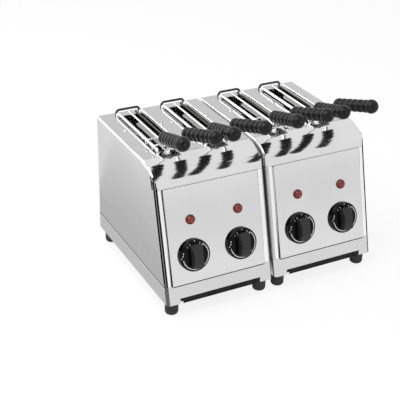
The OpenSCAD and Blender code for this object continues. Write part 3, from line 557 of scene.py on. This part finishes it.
def add_figure(shape, place, words, height):
    """A plain number, as a thin raised mesh about its own middle."""
    curve = bpy.data.curves.new("figure", "FONT")
    curve.body = words
    curve.size = height / FIGURE_CAP
    curve.align_x = "CENTER"
    curve.align_y = "CENTER"
    curve.extrude = MARK_LIFT / 2
    figure = bpy.data.objects.new("figure", curve)
    mesh = figure.to_mesh()
    mesh.transform(place @ Matrix.Translation((0, 0, MARK_LIFT / 2)))
    shape.from_mesh(mesh)
    figure.to_mesh_clear()
    bpy.data.objects.remove(figure)
    bpy.data.curves.remove(curve)


def islands(node):
    """Lowest and highest corners of each separate solid of a node."""
    shape = bmesh.new()
    shape.from_mesh(node.data)
    bmesh.ops.remove_doubles(shape, verts=shape.verts, dist=WELD)
    seen, corners = set(), []
    for start in shape.verts:
        if start in seen:
            continue
        seen.add(start)
        waiting, points = [start], []
        while waiting:
            vert = waiting.pop()
            points.append(vert.co.copy())
            near = [edge.other_vert(vert) for edge in vert.link_edges]
            fresh = [other for other in near if other not in seen]
            seen.update(fresh)
            waiting.extend(fresh)
        corners.append((Vector(map(min, zip(*points))), Vector(map(max, zip(*points)))))
    shape.free()
    return corners


# Marks on the dials

def polar(place, radius, angle):
    """The place at a radius and an angle on a dial's face, with its Y away from the middle."""
    spin = Matrix.Rotation(math.radians(angle - 90), 4, "Z")
    return place @ spin @ Matrix.Translation((0, radius, 0))


def dial_marks(number):
    """Scale ring with its dashes, two dots and plain numbers."""
    def make(shape):
        place = dial_frame(number)
        for start, stop in RING_ARCS:
            add_sector(shape, place, RING_R - RING_W / 2, RING_R + RING_W / 2, start, stop)
        for angle in DOT_ANGLES:
            add_disc(shape, polar(place, DOT_R, angle), DOT_D / 2)
        for words, angle in FIGURES:
            add_figure(shape, polar(place, FIGURE_R, angle), words, FIGURE_H)
    return make


for number in SLOTS:
    add_piece(f"dial_{number}_marks", dial_marks(number), ink, f"timer_{number}")


# Coils in the heater tubes

def add_coil(shape, low, high):
    """A wound heater wire along Y, inside one tube."""
    middle = (low + high) / 2
    start, stop = low.y + COIL_END, high.y - COIL_END
    steps = int((stop - start) / COIL_PITCH * COIL_STEPS)
    rings = []
    for step in range(steps + 1):
        turn = math.tau * step / COIL_STEPS
        ray = Vector((math.cos(turn), 0, math.sin(turn)))
        along = start + step * COIL_PITCH / COIL_STEPS
        centre = Vector((middle.x, along, middle.z)) + ray * COIL_R
        rings.append([
            shape.verts.new(centre + ray * (COIL_WIRE * a) + Vector((0, COIL_WIRE * b, 0)))
            for a, b in ((1, 0), (0, 1), (-1, 0), (0, -1))])
    add_rod(shape, rings)


def heater_coils(shape):
    for low, high in islands(nodes["quartz_tubes"]):
        add_coil(shape, low, high)


add_piece("heater_coils", heater_coils, coil, "housing")


# Cross slots in the screws

def add_strip(shape, top, along, across, out):
    """A thin strip that follows the dome of one screw's head."""
    rings = []
    for step in range(SLOT_STEPS + 1):
        reach = SLOT_L * (step / SLOT_STEPS - 0.5)
        drop = HEAD_DOME_R - math.sqrt(HEAD_DOME_R ** 2 - reach ** 2)
        centre = top + along * reach - out * drop
        rings.append([
            shape.verts.new(centre + across * (side * SLOT_W / 2) + out * (lift * SLOT_LIFT))
            for side, lift in ((-1, -1), (1, -1), (1, 1), (-1, 1))])
    add_rod(shape, rings)


def screw_slots(shape):
    """Two crossed strips of painted shade, for the slots' recesses, over the dome of each screw, on
    the top or at the back.
    """
    right, back, up = Vector((1, 0, 0)), Vector((0, 1, 0)), Vector((0, 0, 1))
    for low, high in islands(nodes["case_screws"]):
        size, middle = high - low, (low + high) / 2
        if size.z > size.y:
            across, out = back, up
            top = Vector((middle.x, middle.y, high.z))
        else:
            across, out = up, back
            top = Vector((middle.x, high.y, middle.z))
        add_strip(shape, top, right, across, out)
        add_strip(shape, top, across, right, out)


add_piece("screw_slots", screw_slots, painted_shade, "housing")


# Painted shade under each fascia, where the casing stands on the base

def seam_shades(shape):
    """A thin strip of painted shade on the base's front, where the casing stands on it."""
    fall = Vector((0, -math.sin(FRONT_SLOPE), -math.cos(FRONT_SLOPE))) * SEAM_SHADE
    out = Vector((0, -math.cos(FRONT_SLOPE), math.sin(FRONT_SLOPE))) * MARK_LIFT
    for side in SIDES:
        low, high = islands(nodes[f"{side}_fascia"])[0]
        start = Vector((low.x, SEAM_Y, SEAM_Z))
        add_box(shape, start, Vector((high.x - low.x, 0, 0)), fall, out)


add_piece("seam_shades", seam_shades, painted_shade, "housing")


# Lower edges of the crumb trays' front lips

def tray_lip(side):
    """A thin plate that carries on a tray's front lip downward."""
    def make(shape):
        low, high = islands(nodes[f"{side}_crumb_tray"])[0]
        start = low + Vector((0, 0, LIP_UP))
        add_box(shape, start, Vector((high.x - low.x, 0, 0)), Vector((0, LIP_T, 0)),
                Vector((0, 0, -LIP_H)))
    return make


for side in SIDES:
    add_piece(f"{side}_tray_lip", tray_lip(side), tray, f"{side}_tray")


# Stage, light and camera

WORLD_LIGHT, WORLD_SEEN = 0.65, 1.0
FLOOR_SIZE = 12
FLOOR_GREY, FLOOR_ROUGH = 0.95, 0.9
FLOOR_NOISE, FLOOR_TINT = (3, 2), (grey(0.945), grey(0.955))
# Share of plain white in the floor for the camera, and for metal
FLOOR_WHITE, FLOOR_GLOSS = 0.85, 0.7

# Cards: name, corners and brightness
CARDS = (
    ("dark_card_camera", [(-0.022, -1.744, 1.61), (-1.433, -0.991, 1.61),
                          (-1.656, -1.408, 0.729), (-0.244, -2.161, 0.729)], 0.03),
    ("bright_card_back", [(-1.9, 1.2, 0.25), (-0.4, 1.45, 0.25),
                          (-0.4, 1.45, 1.4), (-1.9, 1.2, 1.4)], 2.2),
    ("grey_card_back", [(-2, 1.5, 0), (4, 1.5, 0), (4, 1.5, 1.22), (-2, 1.5, 1.22)], 0.78),
    ("dark_card_back", [(-2, 1.5, 1.22), (4, 1.5, 1.22), (4, 1.5, 1.29), (-2, 1.5, 1.29)], 0.02),
)
# Height of the cards that lie on the floor
CARD_Z = 2 * MM

# Strips by the front corners: name, two ends (X, and Y from the front's foot) and brightness;
# below the break all have the same brightness, for the base's corners
FRONT_FOOT, STRIP_H = -0.1575, 0.24
STRIP_BREAK, STRIP_LOW = 0.056, 0.2
STRIPS = (
    ("corner_strip_front", (-0.197, -0.0177), (-0.2175, -0.0138), 0.012),
    ("corner_strip_grey", (-0.2175, -0.0138), (-0.2175, -0.0033), 0.4),
    ("corner_strip_left", (-0.2175, -0.0033), (-0.2175, 0.024), 0.012),
    ("corner_strip_right", (0.2175, -0.0146), (0.2175, 0.026), 0.012),
)

# Strips on the floor: the part of the left side that mirrors them, how far X and Y run on from it
# for each metre of height, and the brightness of each step of height
SIDE_X, SIDE_FRONT, SIDE_BACK = -0.2025, -0.153, 0.2
SIDE_LOW, SIDE_STEP = 0.01, 0.034
SIDE_RUN_X, SIDE_RUN_Y = -0.877, 1.643
SIDE_LEVELS = (0.66, 0.68, 0.72, 0.78, 0.85, 0.92)

# Lamps: name, place, size and power
LAMP_AIM = (0, 0, 0.2)
LAMPS = (
    ("softbox", (-0.95, -0.2, 1.9), (1.3, 1.5), 26),
    ("rim", (-0.55, 1.5, 1.5), (0.9, 0.6), 6),
)


def strip_cards():
    """Narrow cards that stand by the front corners and lean with them."""
    lean = math.tan(FRONT_SLOPE)
    for name, first, second, level in STRIPS:
        for part, low, high, glow in (("foot", CARD_Z, STRIP_BREAK, STRIP_LOW),
                                      ("post", STRIP_BREAK, STRIP_H, level)):
            feet = [(x, FRONT_FOOT + y + low * lean, low) for x, y in (first, second)]
            heads = [(x, FRONT_FOOT + y + high * lean, high) for x, y in (second, first)]
            yield f"{name}_{part}", feet + heads, glow


def side_cards():
    """Strips on the floor that the left side mirrors, darker towards its foot."""
    for step, level in enumerate(SIDE_LEVELS):
        corners = []
        for rise, edges in ((step, (0, 1)), (step + 1, (1, 0))):
            z = SIDE_LOW + SIDE_STEP * rise
            ends = (SIDE_FRONT + z * math.tan(FRONT_SLOPE), SIDE_BACK)
            corners += [(SIDE_X + SIDE_RUN_X * z, ends[edge] + SIDE_RUN_Y * z, CARD_Z)
                        for edge in edges]
        yield f"side_card_{step + 1}", corners, level


def emission_world():
    """White for what the camera and metal see, and a plain level for what lights the object."""
    world = bpy.data.worlds.new("studio")
    world.use_nodes = True
    tree = world.node_tree
    path = tree.nodes.new("ShaderNodeLightPath")
    seen = path.outputs["Is Camera Ray"]
    for ray in ("Is Glossy Ray", "Is Transmission Ray"):
        either = tree.nodes.new("ShaderNodeMath")
        either.operation = "MAXIMUM"
        tree.links.new(seen, either.inputs[0])
        tree.links.new(path.outputs[ray], either.inputs[1])
        seen = either.outputs[0]
    level = tree.nodes.new("ShaderNodeMapRange")
    level.inputs["To Min"].default_value = WORLD_LIGHT
    level.inputs["To Max"].default_value = WORLD_SEEN
    tree.links.new(seen, level.inputs["Value"])
    background = tree.nodes["Background"]
    background.inputs["Color"].default_value = (1, 1, 1, 1)
    tree.links.new(level.outputs["Result"], background.inputs["Strength"])
    bpy.context.scene.world = world


def add_floor():
    """White floor; camera and metal see part of it as plain white, so the shadow stays light."""
    bpy.ops.mesh.primitive_plane_add(size=FLOOR_SIZE)
    floor = bpy.context.object
    floor.name = "floor"
    finish = Finish("floor", grey(FLOOR_GREY), PLAIN, FLOOR_ROUGH)
    finish.set(SHINE, 0)
    finish.tint(finish.noise(*FLOOR_NOISE), *FLOOR_TINT)
    path = finish.add("ShaderNodeLightPath")
    gloss = finish.add("ShaderNodeMath", operation="MULTIPLY")
    gloss.inputs[1].default_value = FLOOR_GLOSS
    finish.link(path.outputs["Is Glossy Ray"], gloss.inputs[0])
    share = finish.add("ShaderNodeMath", operation="MULTIPLY_ADD")
    share.inputs[1].default_value = FLOOR_WHITE
    finish.link(path.outputs["Is Camera Ray"], share.inputs[0])
    finish.link(gloss.outputs[0], share.inputs[2])
    white = finish.add("ShaderNodeEmission")
    mix = finish.add("ShaderNodeMixShader")
    finish.link(share.outputs[0], mix.inputs["Fac"])
    finish.link(finish.shader.outputs["BSDF"], mix.inputs[1])
    finish.link(white.outputs["Emission"], mix.inputs[2])
    surface = finish.tree.nodes["Material Output"].inputs["Surface"]
    finish.link(mix.outputs["Shader"], surface)
    floor.data.materials.append(finish.material)


def add_card(name, corners, level):
    """A studio card that only shows in reflections."""
    mesh = bpy.data.meshes.new(name)
    mesh.from_pydata(corners, [], [range(len(corners))])
    card = bpy.data.objects.new(name, mesh)
    bpy.context.collection.objects.link(card)
    material = bpy.data.materials.new(name)
    material.use_nodes = True
    tree = material.node_tree
    glow = tree.nodes.new("ShaderNodeEmission")
    glow.inputs["Color"].default_value = (*grey(level), 1)
    tree.links.new(glow.outputs["Emission"], tree.nodes["Material Output"].inputs["Surface"])
    mesh.materials.append(material)
    card.visible_camera = card.visible_diffuse = card.visible_shadow = False
    card.visible_transmission = card.visible_volume_scatter = False


def add_cards():
    """Cards for the steel to mirror: by the camera, behind, by the front corners, on the floor."""
    for name, corners, level in (*CARDS, *strip_cards(), *side_cards()):
        add_card(name, corners, level)


def add_lamp(name, place, size, power):
    """A soft rectangular lamp that shines on the object."""
    data = bpy.data.lights.new(name, "AREA")
    data.shape = "RECTANGLE"
    data.size, data.size_y = size
    data.energy = power
    lamp = bpy.data.objects.new(name, data)
    lamp.location = place
    ray = Vector(LAMP_AIM) - Vector(place)
    lamp.rotation_euler = ray.to_track_quat("-Z", "Y").to_euler()
    bpy.context.collection.objects.link(lamp)


def add_camera():
    azimuth, elevation = math.radians(CAMERA_AZIMUTH), math.radians(CAMERA_ELEVATION)
    back = Vector((math.sin(azimuth) * math.cos(elevation),
                   -math.cos(azimuth) * math.cos(elevation), math.sin(elevation)))
    data = bpy.data.cameras.new("camera")
    data.sensor_width = CAMERA_SENSOR
    data.lens = CAMERA_LENS
    camera = bpy.data.objects.new("camera", data)
    roll = Matrix.Rotation(math.radians(CAMERA_ROLL), 4, "Z")
    turn = (-back).to_track_quat("-Z", "Y").to_matrix().to_4x4()
    camera.matrix_world = Matrix.Translation(CAMERA_AT) @ turn @ roll
    bpy.context.collection.objects.link(camera)
    bpy.context.scene.camera = camera


bpy.context.scene.view_settings.view_transform = "Standard"
emission_world()
add_floor()
add_cards()
for lamp in LAMPS:
    add_lamp(*lamp)
add_camera()
